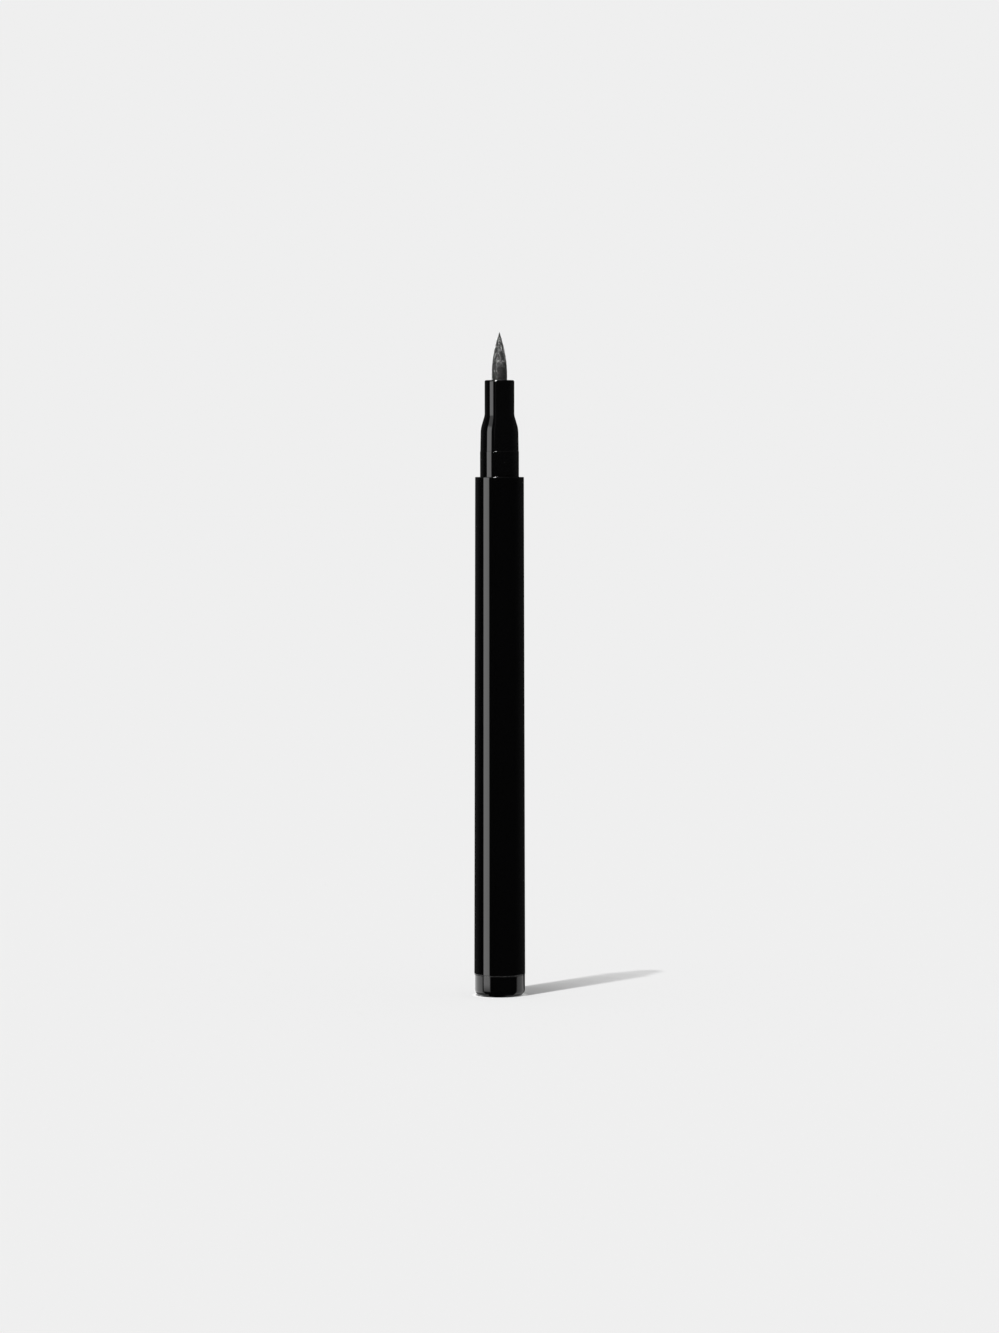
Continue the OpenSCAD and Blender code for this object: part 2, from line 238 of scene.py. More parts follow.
barrel_side = [(tail_r, tail_z + tail_round), (mouth_r, mouth_z - rim_round)]
barrel = turn(
    "barrel_shell",
    arc(tail_r - tail_round, tail_z + tail_round, tail_round, -90, 0)
    + stretch(*barrel_side, rings=60)
    + arc(mouth_r - rim_round, mouth_z - rim_round, rim_round, 0, 90)
    + [
        (mouth_bore_r + bore_chamfer, mouth_z),
        (mouth_bore_r, mouth_z - bore_chamfer),
        (mouth_bore_r, mouth_z - mouth_bore_len),
        (bore_r, mouth_z - mouth_bore_len),
        (bore_r, tail_z + bore_chamfer),
        (bore_r + bore_chamfer, tail_z),
    ],
)
barrel_plastic = gloss_black(
    "barrel_plastic", barrel_black, haze=0.028, wear_and_highlight_grey=0.02, wear_and_highlight_heights=barrel_rims
)
barrel.data.materials.append(barrel_plastic)
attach(barrel, "pen")
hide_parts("barrel")

# Front section
# One black moulding: a flange and a skirt inside the barrel, the seat that the cap slides over,
# the witness step, the waist, the flare and the neck. The flange stops under the barrel's shoulder.
section_low, section_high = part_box("front_section")
flange_r = section_high.x
flange_z = section_low.z
neck_top_z = section_high.z
shoulder_z = mouth_z - mouth_bore_len
skirt_r = 3.83 * MM
skirt_bore_r = 3.15 * MM
seat_r = 3.8 * MM
seat_len = 5 * MM
relief_r = 3.6 * MM
relief_h = 0.6 * MM
seat_round = 0.04 * MM
witness_step = 0.05 * MM
waist_len = 3.5 * MM
waist_taper = 0.06 * MM
flare_len = 3.9 * MM
flare_shoulder_r = 6.2 * MM
flare_throat_r = 2.4 * MM
neck_r = 2.9 * MM
neck_round = 0.3 * MM
neck_chamfer = 0.1 * MM
neck_bore_r = 2.14 * MM
lip_bore_r = 1.6 * MM
lip_len = 2 * MM
step_z = mouth_z + seat_len
flare_z = step_z + waist_len
neck_z = flare_z + flare_len
lip_z = neck_top_z - lip_len
waist_r = seat_r - witness_step
waist_top_r = waist_r - waist_taper
section_black = (0.002, 0.002, 0.0021)
section_rims = [mouth_z, step_z, neck_top_z]

# The flare's two roundings share a straight side, so its slope follows from their radii
roundings = flare_shoulder_r + flare_throat_r
centres_out = roundings - (waist_top_r - neck_r)
centres_apart = math.hypot(flare_len, centres_out)
slope = math.degrees(math.atan2(flare_len, centres_out) - math.acos(roundings / centres_apart))
shoulder_arc = arc(waist_top_r - flare_shoulder_r, flare_z, flare_shoulder_r, 0, slope, steps=12)
throat_arc = arc(neck_r + flare_throat_r, neck_z, flare_throat_r, 180 + slope, 180, steps=12)

front_section = turn(
    "front_section_shell",
    [
        (skirt_bore_r, flange_z),
        (flange_r, flange_z),
        (flange_r, shoulder_z),
        (skirt_r, shoulder_z),
        (skirt_r, mouth_z - relief_h),
        (relief_r, mouth_z - relief_h),
        (relief_r, mouth_z),
        (seat_r, mouth_z),
    ]
    + stretch((seat_r, mouth_z), (seat_r, step_z - seat_round), rings=6)
    + arc(seat_r - seat_round, step_z - seat_round, seat_round, 0, 90, steps=5)
    + [(waist_r, step_z)]
    + stretch((waist_r, step_z), (waist_top_r, flare_z), rings=5)
    + shoulder_arc
    + throat_arc
    + stretch((neck_r, neck_z), (neck_r, neck_top_z - neck_round), rings=8)
    + arc(neck_r - neck_round, neck_top_z - neck_round, neck_round, 0, 90)
    + [
        (lip_bore_r + neck_chamfer, neck_top_z),
        (lip_bore_r, neck_top_z - neck_chamfer),
        (lip_bore_r, lip_z),
        (neck_bore_r, lip_z),
        (neck_bore_r, flare_z + skirt_bore_r - neck_bore_r),
        (skirt_bore_r, flare_z),
    ],
)
section_plastic = gloss_black(
    "section_plastic", section_black, haze=0.03, wear_and_highlight_grey=0.012, wear_and_highlight_heights=section_rims
)
front_section.data.materials.append(section_plastic)
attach(front_section, "pen")
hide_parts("front_section")

# Nib holder
# A white acetal tube, pressed up the front section from behind. It grips the nib, and the air that
# replaces the ink passes down its grooves, through vents under the lip and notches in its flange.
holder_low, holder_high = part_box("nib_holder")
holder_z = holder_low.z
disc_r = holder_high.x
holder_flange_h = 1.2 * MM
holder_wall_r = 2.12 * MM
nib_seat_r = 1.52 * MM
feed_bore_r = 0.82 * MM
groove_count = 4
groove_w = 0.7 * MM
groove_depth = 0.25 * MM
vent_h = 0.4 * MM
notch_depth = 0.5 * MM
overrun = 1 * MM
beyond_r = disc_r + overrun
moulded_edge = 0.08 * MM
ledge_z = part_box("nib")[0].z
holder_ring_z = holder_z + holder_flange_h


def grow(name, base, sizes, counts, build):
    """Runs a Geometry Nodes tree, with named inputs, on a base piece and returns the plain mesh."""
    tree = bpy.data.node_groups.new(name, "GeometryNodeTree")
    tree.interface.new_socket("Base", in_out="INPUT", socket_type="NodeSocketGeometry")
    sockets = {}
    for kind, values in (("NodeSocketFloat", sizes), ("NodeSocketInt", counts)):
        for label in values:
            sockets[label] = tree.interface.new_socket(label, in_out="INPUT", socket_type=kind)
    tree.interface.new_socket("Grown", in_out="OUTPUT", socket_type="NodeSocketGeometry")
    inputs = tree.nodes.new("NodeGroupInput")
    given = {label: Field(inputs.outputs[label]) for label in ["Base", *sockets]}
    grown = build(given)
    output = tree.nodes.new("NodeGroupOutput")
    tree.links.new(grown.socket, output.inputs["Grown"])
    modifier = base.modifiers.new(name, "NODES")
    modifier.node_group = tree
    for label, value in {**sizes, **counts}.items():
        modifier[sockets[label].identifier] = value
    depsgraph = bpy.context.evaluated_depsgraph_get()
    depsgraph.update()
    mesh = bpy.data.meshes.new_from_object(base.evaluated_get(depsgraph))
    mesh.name = name
    material = next(one for one in mesh.materials if one)
    mesh.materials.clear()
    mesh.materials.append(material)
    mesh.polygons.foreach_set("material_index", [0] * len(mesh.polygons))
    piece = bpy.data.objects.new(name, mesh)
    bpy.context.scene.collection.objects.link(piece)
    base.modifiers.clear()
    bpy.data.objects.remove(base)
    return piece


def slot_sizes(label, width, near, far, low, high):
    """Named sizes of a slot: its width, and its ends out from the axis and up the pen."""
    ends = {"Width": width, "From": near, "To": far, "Low": low, "High": high}
    return {f"{label} {end}": size for end, size in ends.items()}


def slot(given, label, copies=None):
    """The box that cuts a slot, or a ring of copies of it at even turns round the pen."""
    near, far, low, high = (given[f"{label} {end}"] for end in ("From", "To", "Low", "High"))
    sides = {"X": far - near, "Y": given[f"{label} Width"], "Z": high - low}
    size = near.node("ShaderNodeCombineXYZ", None, sides)
    halfway = {"X": (far + near) * 0.5, "Z": (high + low) * 0.5}
    middle = near.node("ShaderNodeCombineXYZ", None, halfway)
    box = size.node("GeometryNodeMeshCube", None, {"Size": size})
    moved = box.node("GeometryNodeTransform", None, {"Geometry": box, "Translation": middle})
    if copies is None:
        return moved
    points = moved.node("GeometryNodePoints", None, {"Count": copies})
    turned = moved.node("GeometryNodeInputIndex") * (2 * math.pi) / copies
    angles = turned.node("ShaderNodeCombineXYZ", None, {"Z": turned})
    round_pen = {"Points": points, "Instance": moved, "Rotation": angles}
    ring = points.node("GeometryNodeInstanceOnPoints", None, round_pen)
    return ring.node("GeometryNodeRealizeInstances", None, {"Geometry": ring})


def cut(body, boxes):
    """A body less the boxes that cut its slots."""
    settings = {"operation": "DIFFERENCE", "solver": "EXACT"}
    return body.node("GeometryNodeMeshBoolean", settings, {"Mesh 1": body, "Mesh 2": boxes})


def finished(shape, material):
    """The last nodes of a tree: real geometry with its material."""
    real = shape.node("GeometryNodeRealizeInstances", None, {"Geometry": shape})
    return real.node("GeometryNodeSetMaterial", None, {"Geometry": real, "Material": material})


def grooved(given):
    """The holder with its air grooves, vents and notches."""
    boxes = [slot(given, label, given["Grooves"]) for label in ("Groove", "Vent", "Notch")]
    return finished(cut(given["Base"], boxes), holder_acetal)


def natural_plastic(name, light, gloss, wet):
    """Uncoloured moulded plastic: faint clouds and flow marks, soft gloss, and ink by the slit."""
    material, place = new_material(name)
    clouds = grain(place, 2.5 * MM, 3.0, (1, 1, 2))
    flow = grain(place, 0.5 * MM, 2.0, (1, 1, 6))
    pores = grain(place, 0.09 * MM, 2.0)
    off_slit = place.part(1).math("ABSOLUTE") / (0.9 * MM)
    by_slit = (1 - off_slit - place.part(0) / (0.6 * MM)).clamped()
    film = (by_slit * wet + (clouds - 0.55) * 3 * wet).clamped()
    clean = tint(clouds * 0.7 + flow * 0.3, light, [c * 0.88 for c in light])
    colour = tint(film * (0.5 + flow * 0.8), clean, (0.008, 0.008, 0.01))
    roughness = gloss + pores * 0.12 - film * 0.15
    relief = (flow * 0.4 + pores, 0.7, 4e-6)
    finish_material(place, colour, roughness, relief, {"IOR": 1.48})
    return material


holder_acetal = natural_plastic("holder_acetal", light=(0.78, 0.78, 0.75), gloss=0.3, wet=0.5)
holder_body = turn(
    "holder_body",
    [(feed_bore_r, holder_z), (disc_r - moulded_edge, holder_z), (disc_r, holder_z + moulded_edge)]
    + [(disc_r, holder_ring_z - moulded_edge), (disc_r - moulded_edge, holder_ring_z)]
    + [(holder_wall_r, holder_ring_z), (holder_wall_r, lip_z - moulded_edge)]
    + [(holder_wall_r - moulded_edge, lip_z), (nib_seat_r + moulded_edge, lip_z)]
    + [(nib_seat_r, lip_z - moulded_edge), (nib_seat_r, ledge_z), (feed_bore_r, ledge_z)],
    around=128,
)
holder_body.data.materials.append(holder_acetal)
groove = (groove_w, holder_wall_r - groove_depth, beyond_r, holder_ring_z, lip_z + overrun)
vent = (groove_w, nib_seat_r - notch_depth, beyond_r, lip_z - vent_h, lip_z + overrun)
notch = (groove_w, disc_r - notch_depth, beyond_r, holder_z - overrun, holder_ring_z + overrun)
holder = grow(
    "nib_holder_grooved",
    holder_body,
    {**slot_sizes("Groove", *groove), **slot_sizes("Vent", *vent), **slot_sizes("Notch", *notch)},
    {"Grooves": groove_count},
    grooved,
)
holder.data.set_sharp_from_angle(angle=sharp_edge)
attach(holder, "pen")
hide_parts("nib_holder")

# Nib
# Pressed felt, ground to a long point and soaked with black ink. Its shank is held by the holder,
# and above the neck its matted fibres show, drawn lighter on the tufts' crests, partly as painted
# glints, and dark in the gaps between them as painted shade.
nib_low, nib_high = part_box("nib")
nib_r = nib_high.x
shank_z = nib_low.z
tip_z = nib_high.z
socket_depth = 3 * MM
shank_chamfer = 0.2 * MM
point_z = neck_top_z + 1 * MM
point_power = 1.2
point_rings = 110
fuzz = 0.03 * MM
felt_r = nib_r - fuzz
felt_top_z = tip_z - fuzz
felt_dark = (0.012, 0.012, 0.0125)
# The pale felt colour is partly the fibres' own and partly painted glints on the crests.
felt_light_and_glint = (0.5, 0.5, 0.495)
felt_seed = 7
lump_fade = 0.2 * MM
tuft_size = 0.95 * MM
tuft_rise = 1.6 * MM
tuft_fall = 0.8 * MM
gap_size = 0.34 * MM
gap_level = 0.44
# How much darker the gaps between fibres are drawn: painted shade.
gap_painted_shade = 0.85
crispness = 14


def point_radius(height):
    """Radius of the nib's core at a height on its point."""
    share = (height - point_z) / (felt_top_z - point_z)
    return felt_r * (1 - share * share) ** point_power


def felt_material():
    """Felt wet with ink: dark, with lighter curls where the fibres stand out, which are partly
    painted glints, painted shade in the gaps, and a soft gloss.
    """
    material, place = new_material("wet_felt")
    mottle = grain(place, 0.45 * MM, 4.0)
    flecks = grain(place, 0.17 * MM, 2.0)
    tone = place.node("ShaderNodeAttribute", {"attribute_name": "tone"}, None, 2)
    amount = tone * (0.45 + mottle * 1.1) + (flecks - 0.5) * 0.12
    colour = tint(amount, felt_dark, felt_light_and_glint)
    relief = (mottle * 0.5 + flecks, 0.6, 3e-5)
    finish_material(place, colour, 0.42 + flecks * 0.3, relief)
    return material


def standing(given, place):
    """1 on the part of the point where the fibres stand out, falling to 0 at its foot and tip."""
    height = place.part(2)
    from_foot = ((height - given["Stands From"]) / tuft_rise).clamped()
    to_tip = ((given["Stands To"] - height) / tuft_fall).clamped()
    return from_foot * to_tip


def curls(place):
    """1 along the crests of the matted tufts, falling to 0 between them."""
    waves = grain(place, tuft_size, 1.0, (1, 1, 1.2))
    return (1 - (waves - 0.5).math("ABSOLUTE") * crispness).clamped()


def shaded_gaps(place):
    """1 in the gaps between the fibres, which are pressed in and drawn dark as painted shade."""
    return ((gap_level - grain(place, gap_size, 1.0)) * crispness).clamped()


def with_tone(shape, tone):
    """A shape that carries the tone of its fibres, which the felt's material reads."""
    stored = {"Geometry": shape, "Name": "tone", "Value": tone}
    return shape.node("GeometryNodeStoreNamedAttribute", None, stored)


def matted(given):
    """The nib's core, lumped, with fine fibres and coarser curls matted over what shows of it."""
    core = given["Base"]
    place = core.node("GeometryNodeInputPosition")
    normal = core.node("GeometryNodeInputNormal")
    shows = ((place.part(2) - given["Shows From"]) / lump_fade).clamped()
    ridges = curls(place) * standing(given, place)
    gaps = shaded_gaps(place)
    lumps = (grain(place, 0.35 * MM, 2.0) - 0.5) * 0.6 + ridges - gaps * 0.5
    offset = normal.scaled(lumps * given["Lump Depth"] * shows)
    lumped = core.node("GeometryNodeSetPosition", None, {"Geometry": core, "Offset": offset})
    # Tone of the core: lighter on the crests, partly painted glints, and darkened in the gaps as
    # painted shade.
    toned = with_tone(lumped, (0.08 + ridges * 1.05) * (1 - gaps * gap_painted_shade))
    strands = [
        fibres(given, toned, "Fine", corners=3, pieces=5),
        fibres(given, toned, "Curl", corners=4, pieces=9),
    ]
    joined = toned.node("GeometryNodeJoinGeometry", None, {"Geometry": [toned, *strands]})
    return finished(joined, wet_felt)


def by_chance(low, high, seed):
    """A number between two, drawn for each strand."""
    return seed.node("FunctionNodeRandomValue", None, {2: low, 3: high, "Seed": seed}, 1)


def fibres(given, core, label, corners, pieces):
    """Strands of one kind: scattered on the core, bent, laid on it and given thickness."""
    place = core.node("GeometryNodeInputPosition")
    above = place.part(2).math("GREATER_THAN", given["Shows From"])
    below = place.part(2).math("LESS_THAN", given["Shows To"])
    density = given[f"{label} Density"]
    spread = {"Selection": above * below, "Density": density, "Seed": given["Seed"]}
    scattered = core.node("GeometryNodeDistributePointsOnFaces", None, {"Mesh": core, **spread})
    turned = Field(scattered.socket.node.outputs["Rotation"])
    seed = given["Seed"] + corners
    spin = by_chance(0.0, 2 * math.pi, seed)
    twist = spin.node("FunctionNodeAxisAngleToRotation", None, {"Axis": (0, 0, 1), "Angle": spin})
    aims = {"Rotation": turned, "Rotate By": twist}
    aimed = turned.node("FunctionNodeRotateRotation", {"rotation_space": "LOCAL"}, aims)
    chance = by_chance(0.0, 1.0, seed + 1)
    # Fibres on the crests are drawn lighter, partly as painted glints, and those in the gaps darker
    # as painted shade.
    fibre_and_glint_lift = 0.35 + standing(given, place) * (curls(place) * 3 - 0.1)
    tone = (given[f"{label} Tone"] * chance * chance * fibre_and_glint_lift + 0.045) * (1 - shaded_gaps(place) * gap_painted_shade)
    toned = with_tone(scattered, tone)
    half = given[f"{label} Length"] * 0.5
    start = half.node("ShaderNodeCombineXYZ", None, {"X": half * -1})
    end = half.node("ShaderNodeCombineXYZ", None, {"X": half})
    line = half.node("GeometryNodeCurvePrimitiveLine", None, {"Start": start, "End": end})
    strand = line.node("GeometryNodeResampleCurve", None, {"Curve": line, "Count": pieces + 1})
    size = by_chance(0.5, 1.3, seed + 2)
    lay = {"Points": toned, "Instance": strand, "Rotation": aimed, "Scale": size}
    laid_out = toned.node("GeometryNodeInstanceOnPoints", None, lay)
    real = laid_out.node("GeometryNodeRealizeInstances", None, {"Geometry": laid_out})
    drift = grain(place, 0.32 * MM, 1.0, output=1)
    bend = drift.vector("SUBTRACT", (0.5, 0.5, 0.5)).scaled(given[f"{label} Bend"])
    bent = real.node("GeometryNodeSetPosition", None, {"Geometry": real, "Offset": bend})
    on_core = core.node("GeometryNodeProximity", {"target_element": "FACES"}, {0: core})
    outward = on_core.vector("MULTIPLY", (1, 1, 0)).vector("NORMALIZE")
    laid_at = on_core.vector("ADD", outward.scaled(given[f"{label} Lift"]))
    laid = bent.node("GeometryNodeSetPosition", None, {"Geometry": bent, "Position": laid_at})
    round_size = {"Resolution": corners, "Radius": given[f"{label} Radius"]}
    profile = laid.node("GeometryNodeCurvePrimitiveCircle", None, round_size)
    sweep = {"Curve": laid, "Profile Curve": profile, "Fill Caps": True}
    return laid.node("GeometryNodeCurveToMesh", None, sweep)


wet_felt = felt_material()
point_heights = [point_z + (felt_top_z - point_z) * i / point_rings for i in range(1, point_rings)]
nib_core = turn(
    "nib_core",
    [(0, shank_z + socket_depth), (feed_bore_r, shank_z + socket_depth), (feed_bore_r, shank_z)]
    + [(felt_r - shank_chamfer, shank_z), (felt_r, shank_z + shank_chamfer)]
    + stretch((felt_r, shank_z + shank_chamfer), (felt_r, point_z), rings=30)
    + [(felt_r, point_z)]
    + [(point_radius(z), z) for z in point_heights]
    + [(0, felt_top_z)],
    around=180,
)
nib_core.data.materials.append(wet_felt)
nib = grow(
    "nib_felt_point",
    nib_core,
    {
        "Shows From": neck_top_z - 0.1 * MM,
        "Shows To": tip_z - 0.7 * MM,
        "Stands From": neck_top_z + 2.4 * MM,
        "Stands To": tip_z - 0.9 * MM,
        "Lump Depth": 0.045 * MM,
        "Fine Density": 4.2e7,
        "Fine Length": 0.8 * MM,
        "Fine Bend": 0.5 * MM,
        "Fine Lift": 0.004 * MM,
        "Fine Radius": 0.013 * MM,
        "Fine Tone": 0.35,
        "Curl Density": 4.5e6,
        "Curl Length": 1.0 * MM,
        "Curl Bend": 0.9 * MM,
        "Curl Lift": 0.01 * MM,
        "Curl Radius": 0.032 * MM,
        "Curl Tone": 1.0,
    },
    {"Seed": felt_seed},
    matted,
)
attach(nib, "pen")
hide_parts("nib")

# Ink collector
# A comb of thin white fins on a core, moulded in one. The ink that warming air pushes out of the
# tank reaches the fins by a slit and is held between them, while air passes up the slot opposite.
collector_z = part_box("ink_collector")[0].z
core_r = 1.74 * MM
end_disc_h = 1.2 * MM
fin_t = 0.35 * MM
fin_sides = 96
fin_pitch = 0.8 * MM
fin_root = 0.1 * MM
air_slot_w = 0.9 * MM
ink_slit_w = 0.25 * MM
slit_depth = 0.5 * MM
collector_notch_w = 0.8 * MM
sleeve_seat_r = 1.14 * MM
sleeve_top_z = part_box("feed_sleeve")[1].z
low_disc_z = collector_z + end_disc_h
high_disc_z = holder_z - end_disc_h
fin_count = math.floor((high_disc_z - low_disc_z) / fin_pitch) - 1
fin_step = (high_disc_z - low_disc_z) / (fin_count + 1)


def round_block(sides, radius, length):
    """A plain cylinder along the pen, to cut with or to set in rows and rings."""
    size = {"Vertices": sides, "Radius": radius, "Depth": length}
    return radius.node("GeometryNodeMeshCylinder", None, size)


def comb(given):
    """The slit core with its end discs, and a row of slotted fins set along it."""
    core = cut(given["Base"], [slot(given, label) for label in ("Slit", "Sleeve Slit", "Notch")])
    disc = round_block(given["Sides"], given["Fin Radius"], given["Fin Thickness"])
    hole = round_block(given["Sides"], given["Fin Bore"], given["Fin Pitch"])
    fin = cut(disc, [hole, slot(given, "Fin Slot"), slot(given, "Fin Slit")])
    start = core.node("ShaderNodeCombineXYZ", None, {"Z": given["First Fin"]})
    step = core.node("ShaderNodeCombineXYZ", None, {"Z": given["Fin Pitch"]})
    along = {"Count": given["Fins"], "Start Location": start, "Offset": step}
    row = core.node("GeometryNodeMeshLine", {"mode": "OFFSET"}, along)
    fins = row.node("GeometryNodeInstanceOnPoints", None, {"Points": row, "Instance": fin})
    joined = core.node("GeometryNodeJoinGeometry", None, {"Geometry": [core, fins]})
    return finished(joined, collector_plastic)


collector_plastic = natural_plastic(
    "inked_collector", light=(0.74, 0.74, 0.71), gloss=0.34, wet=0.9
)
collector_core = turn(
    "collector_core",
    [(sleeve_seat_r, collector_z), (disc_r - moulded_edge, collector_z)]
    + [(disc_r, collector_z + moulded_edge), (disc_r, low_disc_z), (core_r, low_disc_z)]
    + [(core_r, high_disc_z), (disc_r, high_disc_z), (disc_r, holder_z - moulded_edge)]
    + [(disc_r - moulded_edge, holder_z), (feed_bore_r, holder_z), (feed_bore_r, sleeve_top_z)]
    + [(sleeve_seat_r, sleeve_top_z)],
    around=128,
)
collector_core.data.materials.append(collector_plastic)
sleeve_slit_r = sleeve_seat_r + slit_depth
slit = (ink_slit_w, -beyond_r, 0, low_disc_z, high_disc_z)
sleeve_slit = (ink_slit_w, -sleeve_slit_r, 0, collector_z - overrun, low_disc_z + overrun)
notch_ends = (high_disc_z - overrun, holder_z + overrun)
end_notch = (collector_notch_w, disc_r - notch_depth, beyond_r, *notch_ends)
fin_slot = (air_slot_w, core_r, beyond_r, -fin_pitch, fin_pitch)
fin_slit = (ink_slit_w, -beyond_r, 0, -fin_pitch, fin_pitch)
collector = grow(
    "ink_collector_finned",
    collector_core,
    {
        "Fin Radius": disc_r,
        "Fin Bore": core_r - fin_root,
        "Fin Thickness": fin_t,
        "Fin Pitch": fin_step,
        "First Fin": low_disc_z + fin_step,
        **slot_sizes("Slit", *slit),
        **slot_sizes("Sleeve Slit", *sleeve_slit),
        **slot_sizes("Notch", *end_notch),
        **slot_sizes("Fin Slot", *fin_slot),
        **slot_sizes("Fin Slit", *fin_slit),
    },
    {"Sides": fin_sides, "Fins": fin_count},
    comb,
)
collector.data.set_sharp_from_angle(angle=sharp_edge)
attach(collector, "pen")
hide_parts("ink_collector")

# Feed rod and sleeve
# A rod of bonded fibres draws the ink up from the tank into the nib. Through the stopper and into
# the collector it runs in a thin extruded sleeve, cut off square.
rod_low, rod_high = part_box("feed_rod")
sleeve_low, sleeve_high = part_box("feed_sleeve")
rod_r = rod_high.x
sleeve_r = sleeve_high.x
rod_chamfer = 0.3 * MM
sleeve_edge = 0.03 * MM


def fibre_rod_material():
    """Bonded fibres soaked with ink: fine streaks along the rod, with lighter fibres among them."""
    material, place = new_material("fibre_rod")
    fibre = grain(place, 0.05 * MM, 2.0, (1, 1, 60))
    bundles = grain(place, 0.25 * MM, 1.0, (1, 1, 25))
    light = ((fibre - 0.55) * 6).clamped() * bundles
    colour = tint(light, (0.012, 0.012, 0.014), (0.16, 0.16, 0.17))
    relief = (fibre + bundles * 0.8, 1.0, 2e-5)
    finish_material(place, colour, 0.45 + fibre * 0.3, relief)
    return material


def drawn_tube_material():
    """Extruded polypropylene: draw lines along the tube over a milky, half clear wall."""
    material, place = new_material("drawn_tube")
    drawn = grain(place, 0.1 * MM, 2.0, (1, 1, 80))
    clouds = grain(place, 1.2 * MM, 2.0)
    colour = tint(clouds, (0.6, 0.61, 0.6), (0.42, 0.43, 0.44))
    clear = {"IOR": 1.49, "Transmission Weight": 0.4}
    finish_material(place, colour, 0.22 + drawn * 0.15, (drawn, 0.8, 4e-6), clear)
    return material


rod = turn(
    "feed_rod_bonded",
    [(0, rod_low.z), (rod_r - rod_chamfer, rod_low.z), (rod_r, rod_low.z + rod_chamfer)]
    + stretch((rod_r, rod_low.z + rod_chamfer), (rod_r, rod_high.z - rod_chamfer), rings=12)
    + [(rod_r, rod_high.z - rod_chamfer), (rod_r - rod_chamfer, rod_high.z), (0, rod_high.z)],
    around=96,
)
rod.data.materials.append(fibre_rod_material())
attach(rod, "pen")
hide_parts("feed_rod")

sleeve = turn(
    "feed_sleeve_drawn",
    [(feed_bore_r, sleeve_low.z), (sleeve_r - sleeve_edge, sleeve_low.z)]
    + [(sleeve_r, sleeve_low.z + sleeve_edge), (sleeve_r, sleeve_high.z - sleeve_edge)]
    + [(sleeve_r - sleeve_edge, sleeve_high.z), (feed_bore_r, sleeve_high.z)],
    around=96,
)
sleeve.data.materials.append(drawn_tube_material())
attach(sleeve, "pen")
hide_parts("feed_sleeve")

# Tank stopper and sealing ring
# A natural plastic stopper pushed into the tank until its flange sits on the rim. A rubber ring
# in its groove seals it, and a slit beside its bore lets the ink through to the collector.
stopper_low, stopper_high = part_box("tank_stopper")
ring_low, ring_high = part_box("tank_seal_ring")
stopper_z = stopper_low.z
stopper_top_z = stopper_high.z
stopper_flange_r = stopper_high.x
tank_top_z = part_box("ink_tank")[1].z
stopper_r = 3.33 * MM
stopper_chamfer = 0.3 * MM
seal_cord_r = (ring_high.z - ring_low.z) / 2
seal_z = (ring_high.z + ring_low.z) / 2
seal_ring_r = ring_high.x - seal_cord_r
press_gap = 0.02 * MM
seal_groove_r = seal_ring_r - seal_cord_r - press_gap
seal_groove_h = seal_cord_r + press_gap
flash_h = 0.02 * MM


def slit_through(given):
    """The stopper with its ink slit."""
    return finished(cut(given["Base"], [slot(given, "Slit")]), stopper_plastic)


def rubber_material():
    """Moulded black rubber: matt, faintly bloomed, with the flash line of its mould."""
    material, place = new_material("seal_rubber_black")
    bloom = grain(place, 0.8 * MM, 3.0)
    skin = grain(place, 0.06 * MM, 2.0)
    flash = place.part(2).near(seal_z, flash_h)
    colour = tint(bloom * 0.8, (0.009, 0.009, 0.009), (0.03, 0.03, 0.029))
    relief = (skin * 0.4 + flash, 0.8, 1e-5)
    finish_material(place, colour, 0.5 + bloom * 0.25, relief, {"IOR": 1.52})
    return material


stopper_plastic = natural_plastic("inked_stopper", light=(0.72, 0.73, 0.7), gloss=0.32, wet=0.7)
stopper_body = turn(
    "stopper_body",
    [(sleeve_seat_r, stopper_z), (stopper_r - stopper_chamfer, stopper_z)]
    + [(stopper_r, stopper_z + stopper_chamfer), (stopper_r, seal_z - seal_groove_h)]
    + [(seal_groove_r, seal_z - seal_groove_h), (seal_groove_r, seal_z + seal_groove_h)]
    + [(stopper_r, seal_z + seal_groove_h), (stopper_r, tank_top_z), (stopper_flange_r, tank_top_z)]
    + [(stopper_flange_r, stopper_top_z - moulded_edge)]
    + [(stopper_flange_r - moulded_edge, stopper_top_z), (sleeve_seat_r, stopper_top_z)],
    around=128,
)
stopper_body.data.materials.append(stopper_plastic)
stopper_slit = (ink_slit_w, -sleeve_slit_r, 0, stopper_z - overrun, stopper_top_z + overrun)
stopper = grow(
    "tank_stopper_slit", stopper_body, slot_sizes("Slit", *stopper_slit), {}, slit_through
)
stopper.data.set_sharp_from_angle(angle=sharp_edge)
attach(stopper, "pen")
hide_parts("tank_stopper")

seal_cord = arc(seal_ring_r, seal_z, seal_cord_r, -90, 270, steps=48)
seal_ring = turn("seal_ring_rubber", seal_cord[:-1], around=128)
seal_ring.data.materials.append(rubber_material())
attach(seal_ring, "pen")
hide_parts("tank_seal_ring")

# Ink tank
# A milky polypropylene tube, moulded with a dished floor that brings the ball back to the middle.
# Black ink films its inner wall. The tail plug holds it up against the stopper.
tank_low, tank_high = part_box("ink_tank")
tank_r = tank_high.x
tank_z = tank_low.z
tank_bore_r = 3.35 * MM
tank_floor_z = tank_z + 0.8 * MM
dish_depth = 0.6 * MM
tank_chamfer = 0.3 * MM
tank_edge = 0.06 * MM
film_depth = 0.05 * MM


